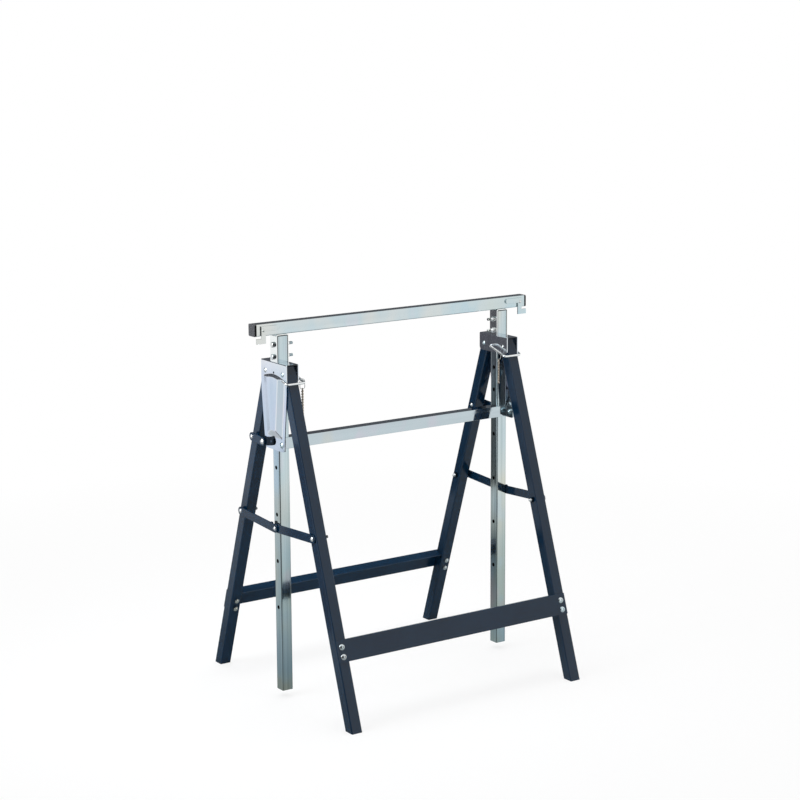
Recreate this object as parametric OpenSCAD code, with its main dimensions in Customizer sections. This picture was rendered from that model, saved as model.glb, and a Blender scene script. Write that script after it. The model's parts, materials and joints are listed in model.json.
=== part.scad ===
// Folding builders' trestle with two telescopic posts, shown at its lowest height.
// X runs along the top bar, Y from the front legs to the rear legs, Z is up, and the floor is z = 0.

/* [Height and posts] */
// Height of the top of the bar at the lowest setting
lowest_height = 800; // [740:5:860]
// Distance between the axes of the two posts
post_spacing = 560; // [440:10:760]
// Width of the square tube of the bar, the posts and the legs
tube = 25; // [22:0.5:28]
// Wall of the square tubes
wall = 1.5; // [1.2:0.1:2]
// Outer corner radius of the square tubes
tube_corner = 2.5; // [2:0.1:3]
// Height of the post ends above the floor at the lowest setting
post_floor_gap = 15; // [8:1:40]
// Depth of the first setting hole below the bar
first_hole_drop = 80; // [76:1:90]
// Pitch of the wide setting holes
hole_pitch = 100; // [80:5:110]
// Diameter of the setting holes
setting_hole = 8.5; // [7:0.5:9]

/* [Top bar] */
// Length of the top bar over its end caps
bar_length = 690; // [660:10:900]
// Thickness of the flat flange of each end cap
cap_flange = 4.5; // [3:0.5:6]
// Shank diameter of the stop rivets
stop_rivet = 4.5; // [4:0.5:6]
// Distance of the stop rivets from the ends of the bar
stop_inset = 19; // [17:1:30]
// Thickness of the end stop plates
stop_plate = 3; // [2:0.5:4]
// Length of a stop's arm beyond its rivet
stop_arm = 38; // [30:1:50]
// Width of a stop's arm and tab
stop_width = 10.5; // [9:0.5:12]
// Reach of a stop's tab below its rivet
stop_drop = 27.5; // [24:0.5:32]
// Reach of the hook at the foot of the tab, outwards from the rivet
stop_hook = 17; // [12:0.5:17]
// Height of the arm's middle above the rivet
stop_arm_rise = 3; // [2:0.5:4]

/* [Post straps] */
// Sheet thickness of the straps that carry the bar
strap_sheet = 2; // [1.5:0.5:3]
// Depth of the first strap bolt below the bar
strap_bolt_drop = 22; // [18:1:26]
// Distance between the two strap bolts
strap_bolt_pitch = 25; // [20:1:26]
// Thread diameter of the strap bolts
strap_bolt = 6; // [5:0.5:7]
// Length of the strap bolts that stands out of the strap on the nut's side
strap_bolt_tail = 16; // [8:0.5:18]

/* [Head brackets] */
// Sheet thickness of the head brackets
head_sheet = 2; // [1.5:0.5:2.5]
// Height of the bracket's top above the leg pivots
head_rise = 22; // [20:0.5:26]
// Half width of the bracket at its top
head_half_top = 50; // [48:1:54]
// Half width of the long flange at its foot
head_half_foot = 38; // [38:1:44]
// Height of the short flange
short_flange = 38; // [34:1:44]
// Height of the long flange
long_flange = 184; // [176:2:200]
// Height of the straight upper part of the long flange
flange_straight = 60; // [50:2:80]
// Radius of the flanges' lower corners
flange_corner = 8; // [5:0.5:10]
// Height of the pressed panel on the long flange
panel_raise = 4; // [2:0.5:5]
// Distance of the pressed panel from the flange's sides
panel_margin = 8; // [6:0.5:10]
// Distance of the panel's shoulders below the pin's hole
panel_drop = 11.5; // [11.5:0.5:20]
// Rise of the panel's arched top above its shoulders
panel_arch = 8; // [5:0.5:8]
// Distance of the panel's foot above the crossbar
panel_lift = 2; // [1:0.5:6]
// Half width of the pressed panel's flat crown
panel_half_crown = 21; // [16:1:24]
// Distance of the leg pivots from the post axis
pivot_offset = 34; // [32:0.5:38]
// Diameter of the leg pivot rivets
pivot_rivet = 7; // [6:0.5:9]

/* [Crossbar] */
// Height of the crossbar channel
crossbar_height = 24; // [20:1:28]
// Depth of the crossbar channel
crossbar_depth = 24; // [16:1:26]
// Sheet thickness of the crossbar
crossbar_sheet = 2; // [1.5:0.5:2.5]
// Height of the crossbar's middle above the foot of the long flange
crossbar_rise = 14; // [13:0.5:18]
// Distance of the crossbar bolts in front of the post axis
crossbar_bolt_y = 28; // [26:0.5:31]
// Thread diameter of the crossbar bolts
crossbar_bolt = 6; // [5:0.5:8]

/* [Legs and stretchers] */
// Distance between the middles of the front and rear feet
foot_spread = 534; // [480:2:580]
// Length of leg above its pivot
leg_top = 14; // [12:0.5:14.5]
// Height of the middle of the stretchers
stretcher_height = 154; // [120:2:220]
// Width of the stretchers' flange that lies on the legs
stretcher_width = 45; // [38:1:52]
// Width of the stretchers' top flange
stretcher_flange = 25; // [18:1:30]
// Sheet thickness of the stretchers
stretcher_sheet = 2.5; // [2:0.5:3]
// Distance of the bolts' middle below the stretcher's middle
stretcher_bolt_drop = 2; // [0:0.5:4]
// Distance between the two bolts at each stretcher end
stretcher_bolt_pitch = 20; // [16:1:24]
// Thread diameter of the stretcher bolts
stretcher_bolt = 6; // [5:0.5:7]
// Distance of the stretchers' ends from the legs' outer sides
stretcher_inset = 1; // [0.5:0.5:3]

/* [Braces and stays] */
// Thickness of the brace and stay links
link_sheet = 3; // [2.5:0.5:3.5]
// Width of the brace links
brace_width = 18; // [16:1:20]
// Height of the brace rivets on the legs
brace_height = 374; // [340:2:400]
// Sag of the brace's middle rivet below the rivets on the legs
brace_sag = 8; // [6:0.5:14]
// Length of the small upstand on each brace link
lug_length = 6; // [4:0.5:8]
// Height of that upstand above the link's edge
lug_rise = 3; // [2:0.5:4]
// Diameter of the brace rivets
brace_rivet = 6; // [5:0.5:8]
// Width of the stay links
stay_width = 18; // [16:1:20]
// Height of the stay rivet on the rear leg above the foot of the long flange
stay_height = 14; // [12:1:23]
// Distance of the stay's rivet on the bracket behind the post axis
stay_head_y = 9; // [7:0.5:11]
// Height of the stay's bracket rivet above the foot of the long flange
stay_head_rise = 17; // [15:0.5:19]
// Distance of the stay's middle bolt behind the post axis
stay_mid_y = 41; // [39:0.5:43]
// Height of the stay's middle bolt above the foot of the long flange
stay_mid_rise = 11; // [10:0.5:12]
// Diameter of the stay rivets
stay_rivet = 6; // [5:0.5:7]

/* [Lock pins and chains] */
// Wire diameter of the lock pins
pin_wire = 5; // [4:0.5:6]
// Downward slope of a pin's bow, in degrees
bow_slope = 17; // [10:1:20]
// Distance of the bow's inner arm from the post axis
bow_inner = 25; // [23:0.5:28]
// Angle by which a pin's bow swings up, in degrees
pin_swing = 55; // [40:5:60]
// Distance of the left ring from the pin's axis, along the bow
left_ring_along = 49; // [20:1:49]
// Distance of the right ring from the pin's axis, along the bow
right_ring_along = 35; // [20:1:49]
// Wire diameter of the rings
ring_wire = 1.6; // [1.2:0.1:2]
// Inner height of the rings
ring_height = 20; // [16:0.5:22]
// Wire diameter of the chain links
chain_wire = 1.6; // [1.3:0.1:1.7]
// Inner length of a chain link
chain_link = 6; // [5.5:0.1:7]
// Inner width of a chain link
chain_inner = 3.2; // [3:0.1:3.6]
// Number of links in each chain
chain_count = 9; // [6:1:11]

/* [Fastener heads] */
// Diameter of a rivet's head as a multiple of its shank
rivet_head_ratio = 1.5; // [1.4:0.05:1.6]
// Height of a rivet's domed head
rivet_dome = 2.5; // [2:0.1:3]
// Diameter of a bolt's domed head as a multiple of its thread
bolt_head_ratio = 2.15; // [1.8:0.05:2.2]
// Height of a bolt's domed head
bolt_dome = 3.4; // [2.8:0.1:4]
// Depth of the round socket in a stretcher bolt's head
socket_depth = 2; // [1:0.1:2.4]
// Diameter of that socket as a multiple of the thread
socket_ratio = 0.6; // [0.5:0.05:0.8]
// Width across flats of a hexagon as a multiple of the thread
hex_ratio = 1.65; // [1.5:0.05:1.7]
// Height of a hexagon as a multiple of the thread
nut_ratio = 0.75; // [0.6:0.05:0.9]

/* [Clearances] */
// Radial clearance of a turning fit
running = 0.08; // [0.05:0.01:0.1]
// Radial clearance of a fixed bolt or plug in its hole
snug = 0.1; // [0.05:0.05:0.2]
// Space between flat pieces that move past each other
side_gap = 0.4; // [0.3:0.05:0.5]

/* [Hidden] */
$fn = 48;
LEFT = -1;
RIGHT = 1;
FRONT = -1;
REAR = 1;
navy = "#333b4c";
zinc = "#c3ced2";
black = "#3a3a3d";

// Share of a hexagon's height below its chamfer, and of its width inside the chamfer
hex_straight = 0.75;
hex_face = 0.92;
// Thickness of the thin layers between which a pressed form is drawn
skin = 0.01;
// Length by which a cutter runs past the solid it cuts
past = 1;

half_tube = tube / 2;
inner_corner = tube_corner - wall / 2;
post_x = post_spacing / 2;
bar_half = bar_length / 2;
bar_base = lowest_height - tube;
pin_z = bar_base - first_hole_drop;
hole_steps = [0, 0.5, 1, 2, 3, 4, 5];
lean = atan((foot_spread / 2 - pivot_offset) / pin_z);
head_top = pin_z + head_rise;
flange_foot = head_top - long_flange;
flange_in = half_tube + side_gap;
flange_out = flange_in + head_sheet;
strap_out = half_tube + snug + strap_sheet;
// Outer radius of the straps' bends, which begin at the top of the posts
strap_bend = 2 * strap_sheet;
stretcher_along = (pin_z - stretcher_height) / cos(lean);
stretcher_bolts_along = stretcher_along + stretcher_bolt_drop;
brace_along = (pin_z - brace_height) / cos(lean);
stay_z = flange_foot + stay_height;
stay_along = (pin_z - stay_z) / cos(lean);
// Rivet places of the braces and stays, as [y, z]
brace_leg_y = pivot_offset + brace_along * sin(lean);
brace_mid = [0, brace_height - brace_sag];
stay_leg = [pivot_offset + stay_along * sin(lean), stay_z];
stay_mid = [stay_mid_y, flange_foot + stay_mid_rise];
stay_head = [stay_head_y, flange_foot + stay_head_rise];
// Distances from the post axis at which the flat links lie on the outside of an end
front_brace_in = half_tube + side_gap;
rear_brace_in = front_brace_in + link_sheet + side_gap;
head_link_in = flange_out + side_gap;
leg_link_in = head_link_in + link_sheet + side_gap;
crossbar_z = flange_foot + crossbar_rise;
crossbar_front = half_tube + side_gap + crossbar_sheet;
// Length of a bow whose cross run lies just in front of the leg and the bracket
bow_reach = max((half_tube + pin_wire / 2 + side_gap + pivot_offset * cos(lean)) / cos(lean + bow_slope),
                (head_half_top + pin_wire / 2 + side_gap) / cos(bow_slope));
// Outer arm of the bow, beside the bracket, and its free return, which swings clear of the pivot rivet's head
bow_outer = flange_out + pin_wire / 2 + side_gap;
bow_return = bow_reach - pivot_offset - (pivot_rivet * rivet_head_ratio + pin_wire) / 2 - side_gap;
// Opening of a ring, and the height of its top above the wire so that the bow can swing up
ring_inner = 2 * pin_wire;
ring_room = pin_wire / 2 / cos(pin_swing - bow_slope) + side_gap / 2;
stop_z = bar_base + half_tube;
stop_face = half_tube + 2 * side_gap + stop_plate;
stop_x = bar_half - stop_inset;
// Depth to which a cap plugs into the bar, short of the stop rivet's tail
cap_plug = stop_inset - cap_flange - stop_rivet * rivet_head_ratio / 2 - past;
far = 4 * lowest_height;

// Solids of one end are drawn at the left end, about its post, and mirrored for the right end
module at_end(side) {
    if (side == LEFT) translate([-post_x, 0, 0]) children();
    else mirror([1, 0, 0]) translate([-post_x, 0, 0]) children();
}

module both_ends() {
    at_end(LEFT) children();
    at_end(RIGHT) children();
}

// Frame of a leg: origin at its pivot, -z down the leg, y to the rear
module on_leg(row) {
    translate([0, row * pivot_offset, pin_z]) rotate([row * lean, 0, 0]) children();
}

module rounded_square(w, d, r) {
    square([w - 2 * r, d], center = true);
    square([w, d - 2 * r], center = true);
    for (x = [-1, 1], y = [-1, 1])
        translate([x * (w / 2 - r), y * (d / 2 - r)]) circle(r);
}

module tube_section(size) {
    difference() {
        rounded_square(size, size, tube_corner);
        rounded_square(size - 2 * wall, size - 2 * wall, inner_corner);
    }
}

// Round bar along x from x0 to x1
module bar_x(d, x0, x1) {
    translate([x0, 0, 0]) rotate([0, 90, 0]) cylinder(d = d, h = x1 - x0);
}

// Domed rivet head that stands on x = 0 and points to -x
module dome_head(d, h) {
    r = (d * d / 4 + h * h) / (2 * h);
    rotate([0, -90, 0]) intersection() {
        translate([0, 0, h - r]) sphere(r);
        cylinder(d = d, h = h);
    }
}

// Hexagon of a nut or bolt head that stands on x = 0 and points to -x
module hex_head(across, h) {
    rotate([0, -90, 0]) intersection() {
        cylinder(d = across / cos(30), h = h, $fn = 6);
        union() {
            cylinder(d = across / cos(30), h = h * hex_straight);
            translate([0, 0, h * hex_straight])
                cylinder(d1 = across / cos(30), d2 = across * hex_face, h = h * (1 - hex_straight));
        }
    }
}

// Nut on the axis x, from x = 0 towards -x, with its bore
module hex_nut(thread) {
    height = thread * nut_ratio;
    difference() {
        hex_head(thread * hex_ratio, height);
        bar_x(thread + 2 * snug, -height - past, past);
    }
}

// Flat link between two points [y, z], from x0 outwards, with its rivet holes
module flat_link(a, b, width, hole_a, hole_b, x0) {
    run = b - a;
    length = norm(run);
    difference() {
        translate([-x0, a.x, a.y]) rotate([atan2(run.y, run.x), 0, 0]) rotate([0, -90, 0]) rotate([0, 0, 90])
            linear_extrude(link_sheet) union() {
                translate([0, -width / 2]) square([length, width]);
                circle(d = width);
                translate([length, 0]) circle(d = width);
            }
        for (end = [[a, hole_a], [b, hole_b]])
            translate([0, end[0].x, end[0].y]) bar_x(end[1], -x0 - link_sheet - past, past - x0);
    }
}

// Upper frame: bar, caps, stops, straps and posts

module top_bar() color(zinc) difference() {
    translate([-bar_half + cap_flange, 0, stop_z]) rotate([90, 0, 90])
        linear_extrude(bar_length - 2 * cap_flange) tube_section(tube);
    for (side = [LEFT, RIGHT])
        translate([side * stop_x, 0, stop_z]) rotate([90, 0, 0])
            cylinder(d = stop_rivet + 2 * snug, h = tube);
}

module end_cap(side) color(black) translate([side * bar_half, 0, stop_z]) rotate([0, side * -90, 0])
    union() {
        linear_extrude(cap_flange) rounded_square(tube, tube, tube_corner);
        difference() {
            linear_extrude(cap_flange + cap_plug)
                rounded_square(tube - 2 * wall - 2 * snug, tube - 2 * wall - 2 * snug, inner_corner);
            translate([0, 0, cap_flange])
                linear_extrude(cap_plug + past)
                    rounded_square(tube - 4 * wall - 2 * snug, tube - 4 * wall - 2 * snug, tube_corner / 2);
        }
    }

// Outline of a stop about its rivet: arm inwards along +x, tab down, hook outwards
module stop_outline() {
    half = stop_width / 2;
    translate([0, stop_arm_rise - half]) square([stop_arm - half, stop_width]);
    translate([stop_arm - half, stop_arm_rise]) circle(half);
    translate([-half, -stop_drop]) square([stop_width, stop_drop + stop_arm_rise + half]);
    translate([-stop_hook, -stop_drop]) square([stop_hook, stop_width]);
}

module end_stop(side) color(zinc)
    translate([side * stop_x, -half_tube - side_gap, stop_z]) mirror([side == RIGHT ? 1 : 0, 0, 0])
        rotate([90, 0, 0]) difference() {
            linear_extrude(stop_plate) stop_outline();
            translate([0, 0, -past]) cylinder(d = stop_rivet + 2 * running, h = stop_plate + 2 * past);
        }

module stop_rivets() color(zinc) for (side = [LEFT, RIGHT])
    translate([side * stop_x, 0, stop_z]) rotate([0, 0, 90]) {
        bar_x(stop_rivet, -stop_face, wall + snug + rivet_dome / 2 - half_tube);
        translate([-stop_face, 0, 0]) dome_head(stop_rivet * rivet_head_ratio, rivet_dome);
        translate([wall + snug - half_tube, 0, 0]) mirror([1, 0, 0])
            dome_head(stop_rivet * rivet_head_ratio, rivet_dome);
    }

// Upright outline with two round upper corners, from z0 up to the bends
module strap_outline(half, bend, z0) {
    bends_z = bar_base - strap_bend;
    translate([-half, z0]) square([2 * half, bends_z - z0]);
    translate([bend - half, z0]) square([2 * (half - bend), bends_z + bend - z0]);
    for (s = [-1, 1])
        translate([s * (half - bend), bends_z]) circle(bend);
}

// Inverted U of strip that hangs from the bar and takes the post between its legs
module post_strap(side) color(zinc) at_end(side) difference() {
    rotate([90, 0, 0]) translate([0, 0, -half_tube]) linear_extrude(tube) difference() {
        strap_outline(strap_out, strap_bend, head_top);
        strap_outline(strap_out - strap_sheet, strap_bend - strap_sheet, head_top - past);
    }
    strap_bolt_places() bar_x(strap_bolt + 2 * snug, -tube, tube);
}

module strap_bolt_places() {
    for (i = [0, 1])
        translate([0, 0, bar_base - strap_bolt_drop - i * strap_bolt_pitch]) children();
}

module post(side) color(zinc) at_end(side) difference() {
    translate([0, 0, post_floor_gap])
        linear_extrude(bar_base - strap_bend - post_floor_gap) tube_section(tube);
    for (step = hole_steps)
        translate([0, 0, pin_z - step * hole_pitch]) bar_x(setting_hole, -tube, tube);
    strap_bolt_places() bar_x(strap_bolt + 2 * snug, -tube, tube);
}

// Bolt heads face outwards, nuts and long thread ends face the middle of the trestle
module strap_bolts() color(zinc) both_ends() strap_bolt_places() {
    bar_x(strap_bolt, -strap_out, strap_out + strap_bolt_tail);
    translate([-strap_out, 0, 0]) hex_head(strap_bolt * hex_ratio, strap_bolt * nut_ratio);
}

module strap_nuts() color(zinc) both_ends() strap_bolt_places()
    translate([strap_out, 0, 0]) mirror([1, 0, 0]) hex_nut(strap_bolt);

// Head frame: pressed brackets, leg pivots and crossbar

// Outline of the long flange in y and z
module long_flange_outline() {
    flat = head_half_foot - flange_corner;
    polygon([[-head_half_top, head_top], [head_half_top, head_top],
        [head_half_top, head_top - flange_straight], [head_half_foot, flange_foot + flange_corner],
        [-head_half_foot, flange_foot + flange_corner], [-head_half_top, head_top - flange_straight]]);
    for (s = [-1, 1])
        translate([s * flat, flange_foot + flange_corner]) circle(flange_corner);
    translate([-flat, flange_foot]) square([2 * flat, 2 * flange_corner]);
}

// Pressed panel of the long flange: its base, or its crown when the inset is larger, with an arched top
module panel_outline(inset) {
    base_top = head_half_top - panel_margin - inset;
    base_foot = head_half_foot - panel_margin - inset;
    top = pin_z - panel_drop - inset / 4;
    foot = crossbar_z + crossbar_height / 2 + panel_lift + inset / 4;
    polygon(concat([[-base_foot, foot], [base_foot, foot]],
        [for (i = [0:8]) let (a = i / 8) [base_top * (1 - 2 * a), top + panel_arch * sin(180 * a)]]));
}

module panel_form(shift) {
    hull() {
        translate([0, 0, shift]) linear_extrude(skin) panel_outline(0);
        translate([0, 0, shift + panel_raise])
            linear_extrude(skin) panel_outline(head_half_top - panel_margin - panel_half_crown);
    }
}

// Turns a drawing of y and z into a sheet that grows outwards from x = -x0
module outwards(x0) {
    translate([-x0, 0, 0]) rotate([90, 0, -90]) mirror([1, 0, 0]) children();
}

module head_bracket(side) color(zinc) at_end(side) difference() {
    union() {
        outwards(flange_in) linear_extrude(head_sheet) long_flange_outline();
        outwards(flange_in) panel_form(head_sheet);
        mirror([1, 0, 0]) outwards(flange_in) linear_extrude(head_sheet) short_flange_outline();
        translate([-flange_out, -head_half_top, head_top - head_sheet])
            cube([2 * flange_out, 2 * head_half_top, head_sheet]);
    }
    outwards(flange_in) panel_form(-2 * skin);
    translate([-half_tube - side_gap, -half_tube - side_gap, head_top - 2 * head_sheet])
        cube([tube + 2 * side_gap, tube + 2 * side_gap, 3 * head_sheet]);
    translate([0, 0, pin_z]) {
        bar_x(pin_wire + 2 * running, -flange_out - past, flange_out + past);
        for (row = [FRONT, REAR])
            translate([0, row * pivot_offset, 0])
                bar_x(pivot_rivet + 2 * snug, -flange_out - past, flange_out + past);
    }
    translate([0, -crossbar_bolt_y, crossbar_z])
        bar_x(crossbar_bolt + 2 * snug, -flange_out - past, past - flange_in);
    translate([0, stay_head.x, stay_head.y])
        bar_x(stay_rivet + 2 * snug, -flange_out - past, past - flange_in);
}

module short_flange_outline() {
    flat = head_half_top - flange_corner;
    foot = head_top - short_flange;
    translate([-head_half_top, foot + flange_corner])
        square([2 * head_half_top, short_flange - flange_corner]);
    translate([-flat, foot]) square([2 * flat, 2 * flange_corner]);
    for (s = [-1, 1])
        translate([s * flat, foot + flange_corner]) circle(flange_corner);
}

module leg_pivot_rivets() color(zinc) both_ends() for (row = [FRONT, REAR])
    translate([0, row * pivot_offset, pin_z]) {
        bar_x(pivot_rivet, -flange_out, flange_out);
        translate([-flange_out, 0, 0]) dome_head(pivot_rivet * rivet_head_ratio, rivet_dome);
        mirror([1, 0, 0]) translate([-flange_out, 0, 0])
            dome_head(pivot_rivet * rivet_head_ratio, rivet_dome);
    }

// Channel between the posts whose face runs on across them and is bent forwards into a tab at each bracket
module crossbar() color(zinc) difference() {
    union() {
        face_half = post_x + flange_in;
        inner_half = post_x - half_tube - 2 * side_gap;
        translate([-face_half, -crossbar_front, crossbar_z - crossbar_height / 2])
            cube([2 * face_half, crossbar_sheet, crossbar_height]);
        for (s = [-1, 1])
            translate([-inner_half, -crossbar_front, crossbar_z + s * (crossbar_height - crossbar_sheet) / 2
                    - crossbar_sheet / 2])
                cube([2 * inner_half, crossbar_depth, crossbar_sheet]);
        both_ends() translate([-flange_in, -head_half_foot, crossbar_z - crossbar_height / 2])
            cube([crossbar_sheet, head_half_foot - crossbar_front + crossbar_sheet, crossbar_height]);
    }
    both_ends() translate([0, -crossbar_bolt_y, crossbar_z])
        bar_x(crossbar_bolt + 2 * snug, -flange_in - past, -flange_in + crossbar_sheet + past);
}

module crossbar_bolts() color(zinc) both_ends() translate([0, -crossbar_bolt_y, crossbar_z]) {
    bar_x(crossbar_bolt, -flange_out, -flange_in + crossbar_sheet + crossbar_bolt);
    translate([-flange_out, 0, 0]) dome_head(crossbar_bolt * bolt_head_ratio, bolt_dome);
}

module crossbar_nuts() color(zinc) both_ends()
    translate([-flange_in + crossbar_sheet, -crossbar_bolt_y, crossbar_z])
        mirror([1, 0, 0]) hex_nut(crossbar_bolt);

// Lock pins and their chains

// Bent wire in the plane z = 0: shank along x, bow along -y round the leg, free return
module pin_path() {
    bend = pin_wire;
    bar_x(pin_wire, half_tube + side_gap, bow_inner - bend);
    translate([bow_inner - bend, -bend, 0])
        rotate_extrude(angle = 90) translate([bend, 0]) circle(d = pin_wire);
    translate([bow_inner, -bend, 0]) rotate([90, 0, 0]) cylinder(d = pin_wire, h = bow_reach - 2 * bend);
    translate([bow_inner - bend, bend - bow_reach, 0]) rotate([0, 0, -90])
        rotate_extrude(angle = 90) translate([bend, 0]) circle(d = pin_wire);
    translate([0, -bow_reach, 0]) bar_x(pin_wire, bend - bow_outer, bow_inner - bend);
    translate([bend - bow_outer, bend - bow_reach, 0]) rotate([0, 0, 180])
        rotate_extrude(angle = 90) translate([bend, 0]) circle(d = pin_wire);
    translate([-bow_outer, bend - bow_reach, 0]) rotate([-90, 0, 0])
        cylinder(d = pin_wire, h = bow_return - bend);
    translate([-bow_outer, bow_return - bow_reach, 0]) sphere(d = pin_wire);
}

module lock_pin(side) color(zinc) at_end(side)
    translate([0, 0, pin_z]) rotate([bow_slope, 0, 0]) pin_path();

// Oblong ring in the plane y = 0, with the top of its opening at z = 0
module oblong(inner_w, inner_h, wire) {
    r = (inner_w + wire) / 2;
    top = wire / 2 - r;
    foot = r - inner_h - wire / 2;
    translate([0, 0, top]) rotate([90, 0, 0])
        rotate_extrude(angle = 180) translate([r, 0]) circle(d = wire);
    translate([0, 0, foot]) rotate([90, 180, 0])
        rotate_extrude(angle = 180) translate([r, 0]) circle(d = wire);
    for (s = [-1, 1])
        translate([s * r, 0, foot]) cylinder(d = wire, h = top - foot);
}

// Top of the opening of the ring that hangs on the bow
module at_ring(side) {
    along = side == LEFT ? left_ring_along : right_ring_along;
    at_end(side)
        translate([bow_inner, -along * cos(bow_slope), pin_z - along * sin(bow_slope) + ring_room])
            children();
}

module pin_ring(side) color(zinc) at_ring(side) oblong(ring_inner, ring_height, ring_wire);

module pin_chain(side) color(zinc) at_ring(side) for (i = [0:chain_count - 1])
    translate([0, 0, -ring_height + side_gap / 2 - i * (chain_link - side_gap / 2)])
        rotate([0, 0, i % 2 == 0 ? 90 : 0]) oblong(chain_inner, chain_link, chain_wire);

// Legs and stretchers

module leg(side, row) color(navy) at_end(side) difference() {
    intersection() {
        on_leg(row) translate([0, 0, -pin_z / cos(lean) - tube])
            linear_extrude(pin_z / cos(lean) + tube + leg_top) tube_section(tube);
        translate([-far / 2, -far / 2, 0]) cube(far);
    }
    on_leg(row) {
        bar_x(pivot_rivet + 2 * running, -tube, tube);
        translate([0, 0, -brace_along]) bar_x(brace_rivet + 2 * snug, -tube, tube);
        if (row == REAR) translate([0, 0, -stay_along]) bar_x(stay_rivet + 2 * snug, -tube, tube);
        stretcher_bolt_holes(2 * tube);
    }
}

// Bores for one end's stretcher bolts, in a leg's frame
module stretcher_bolt_holes(length) {
    for (s = [-1, 1])
        translate([0, -length / 2, s * stretcher_bolt_pitch / 2 - stretcher_bolts_along])
            rotate([-90, 0, 0]) cylinder(d = stretcher_bolt + 2 * snug, h = length);
}

// Angle section: one flange on the outer faces of the legs, the other pointing in between them
module stretcher(row) color(navy) difference() {
    on_leg(row) {
        face_half = post_x + half_tube - stretcher_inset;
        inner_half = post_x - half_tube - stretcher_inset;
        outer_y = half_tube + stretcher_sheet;
        face_y = row == REAR ? half_tube : -outer_y;
        flange_y = row == REAR ? outer_y - stretcher_flange : -outer_y;
        translate([-face_half, face_y, -stretcher_along - stretcher_width / 2])
            cube([2 * face_half, stretcher_sheet, stretcher_width]);
        translate([-inner_half, flange_y, -stretcher_along + stretcher_width / 2 - stretcher_sheet])
            cube([2 * inner_half, stretcher_flange, stretcher_sheet]);
    }
    both_ends() on_leg(row) stretcher_bolt_holes(4 * tube);
}

// Runs its children at each stretcher bolt, with -x pointing out of the leg's outer face
module stretcher_bolt_places(row) {
    both_ends() on_leg(row) for (s = [-1, 1])
        translate([0, 0, s * stretcher_bolt_pitch / 2 - stretcher_bolts_along])
            rotate([0, 0, row * -90]) children();
}

module stretcher_bolts(row) color(zinc) stretcher_bolt_places(row) {
    bar_x(stretcher_bolt, -half_tube - stretcher_sheet, half_tube + stretcher_bolt);
    translate([-half_tube - stretcher_sheet, 0, 0]) difference() {
        dome_head(stretcher_bolt * bolt_head_ratio, bolt_dome);
        bar_x(stretcher_bolt * socket_ratio, -bolt_dome - past, socket_depth - bolt_dome);
    }
}

module stretcher_nuts(row) color(zinc) stretcher_bolt_places(row)
    translate([half_tube, 0, 0]) mirror([1, 0, 0]) hex_nut(stretcher_bolt);

// Braces and stays

module front_brace(side) color(navy) at_end(side) union() {
    flat_link([-brace_leg_y, brace_height], brace_mid, brace_width,
        brace_rivet + 2 * running, brace_rivet + 2 * snug, front_brace_in);
    brace_lug(FRONT, front_brace_in);
}

module rear_brace(side) color(navy) at_end(side) union() {
    flat_link([brace_leg_y, brace_height], brace_mid, brace_width,
        brace_rivet + 2 * running, brace_rivet + 2 * snug, rear_brace_in);
    brace_lug(REAR, rear_brace_in);
}

// Small upstand on a link's top edge beside the middle rivet
module brace_lug(row, x0) {
    middle = brace_mid.x + row * (brace_width + lug_length) / 2;
    translate([-x0 - link_sheet, middle - lug_length / 2, brace_mid.y])
        cube([link_sheet, lug_length, brace_width / 2 + lug_rise]);
}

module front_brace_rivets() color(zinc) both_ends() translate([0, -brace_leg_y, brace_height])
    leg_rivet(brace_rivet, front_brace_in);

module rear_brace_rivets() color(zinc) both_ends() translate([0, brace_leg_y, brace_height])
    leg_rivet(brace_rivet, rear_brace_in);

// Rivet through a leg: a collar that stands a link off, a neck that the link turns on, and two heads
module leg_rivet(d, link_in) {
    link_out = link_in + link_sheet + side_gap / 2;
    bar_x(d, -link_out, half_tube);
    bar_x(d * rivet_head_ratio, side_gap / 2 - link_in, -half_tube);
    translate([-link_out, 0, 0]) dome_head(d * rivet_head_ratio, rivet_dome);
    translate([half_tube, 0, 0]) mirror([1, 0, 0]) dome_head(d * rivet_head_ratio, rivet_dome);
}

// The middle rivet of a brace: the head half turns with the rear link, the tail half with the front link
module brace_rivet_head(side) color(zinc) at_end(side) translate([0, brace_mid.x, brace_mid.y]) {
    bar_x(brace_rivet, -rear_brace_in - link_sheet, -rear_brace_in);
    translate([-rear_brace_in - link_sheet, 0, 0]) dome_head(brace_rivet * rivet_head_ratio, rivet_dome);
}

module brace_rivet_tail(side) color(zinc) at_end(side) translate([0, brace_mid.x, brace_mid.y])
    bar_x(brace_rivet, -front_brace_in - link_sheet, -front_brace_in);

module stay_leg_link(side) color(navy) at_end(side)
    flat_link(stay_leg, stay_mid, stay_width, stay_rivet + 2 * running, stay_rivet + 2 * snug, leg_link_in);

module stay_head_link(side) color(navy) at_end(side)
    flat_link(stay_head, stay_mid, stay_width, stay_rivet + 2 * running, stay_rivet + 2 * snug, head_link_in);

module stay_leg_rivets() color(zinc) both_ends() translate([0, stay_leg.x, stay_leg.y])
    leg_rivet(stay_rivet, leg_link_in);

module stay_head_rivets() color(zinc) both_ends() translate([0, stay_head.x, stay_head.y])
    bar_x(stay_rivet, -head_link_in - link_sheet, -flange_in);

// The middle bolt of a stay: the head half turns with the leg link, the tail half with the bracket link
module stay_bolt(side) color(zinc) at_end(side) translate([0, stay_mid.x, stay_mid.y]) {
    bar_x(stay_rivet, -leg_link_in - link_sheet, -leg_link_in);
    translate([-leg_link_in - link_sheet, 0, 0]) dome_head(stay_rivet * bolt_head_ratio, bolt_dome);
}

module stay_bolt_tail(side) color(zinc) at_end(side) translate([0, stay_mid.x, stay_mid.y])
    bar_x(stay_rivet, -head_link_in - link_sheet, -head_link_in);

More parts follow.
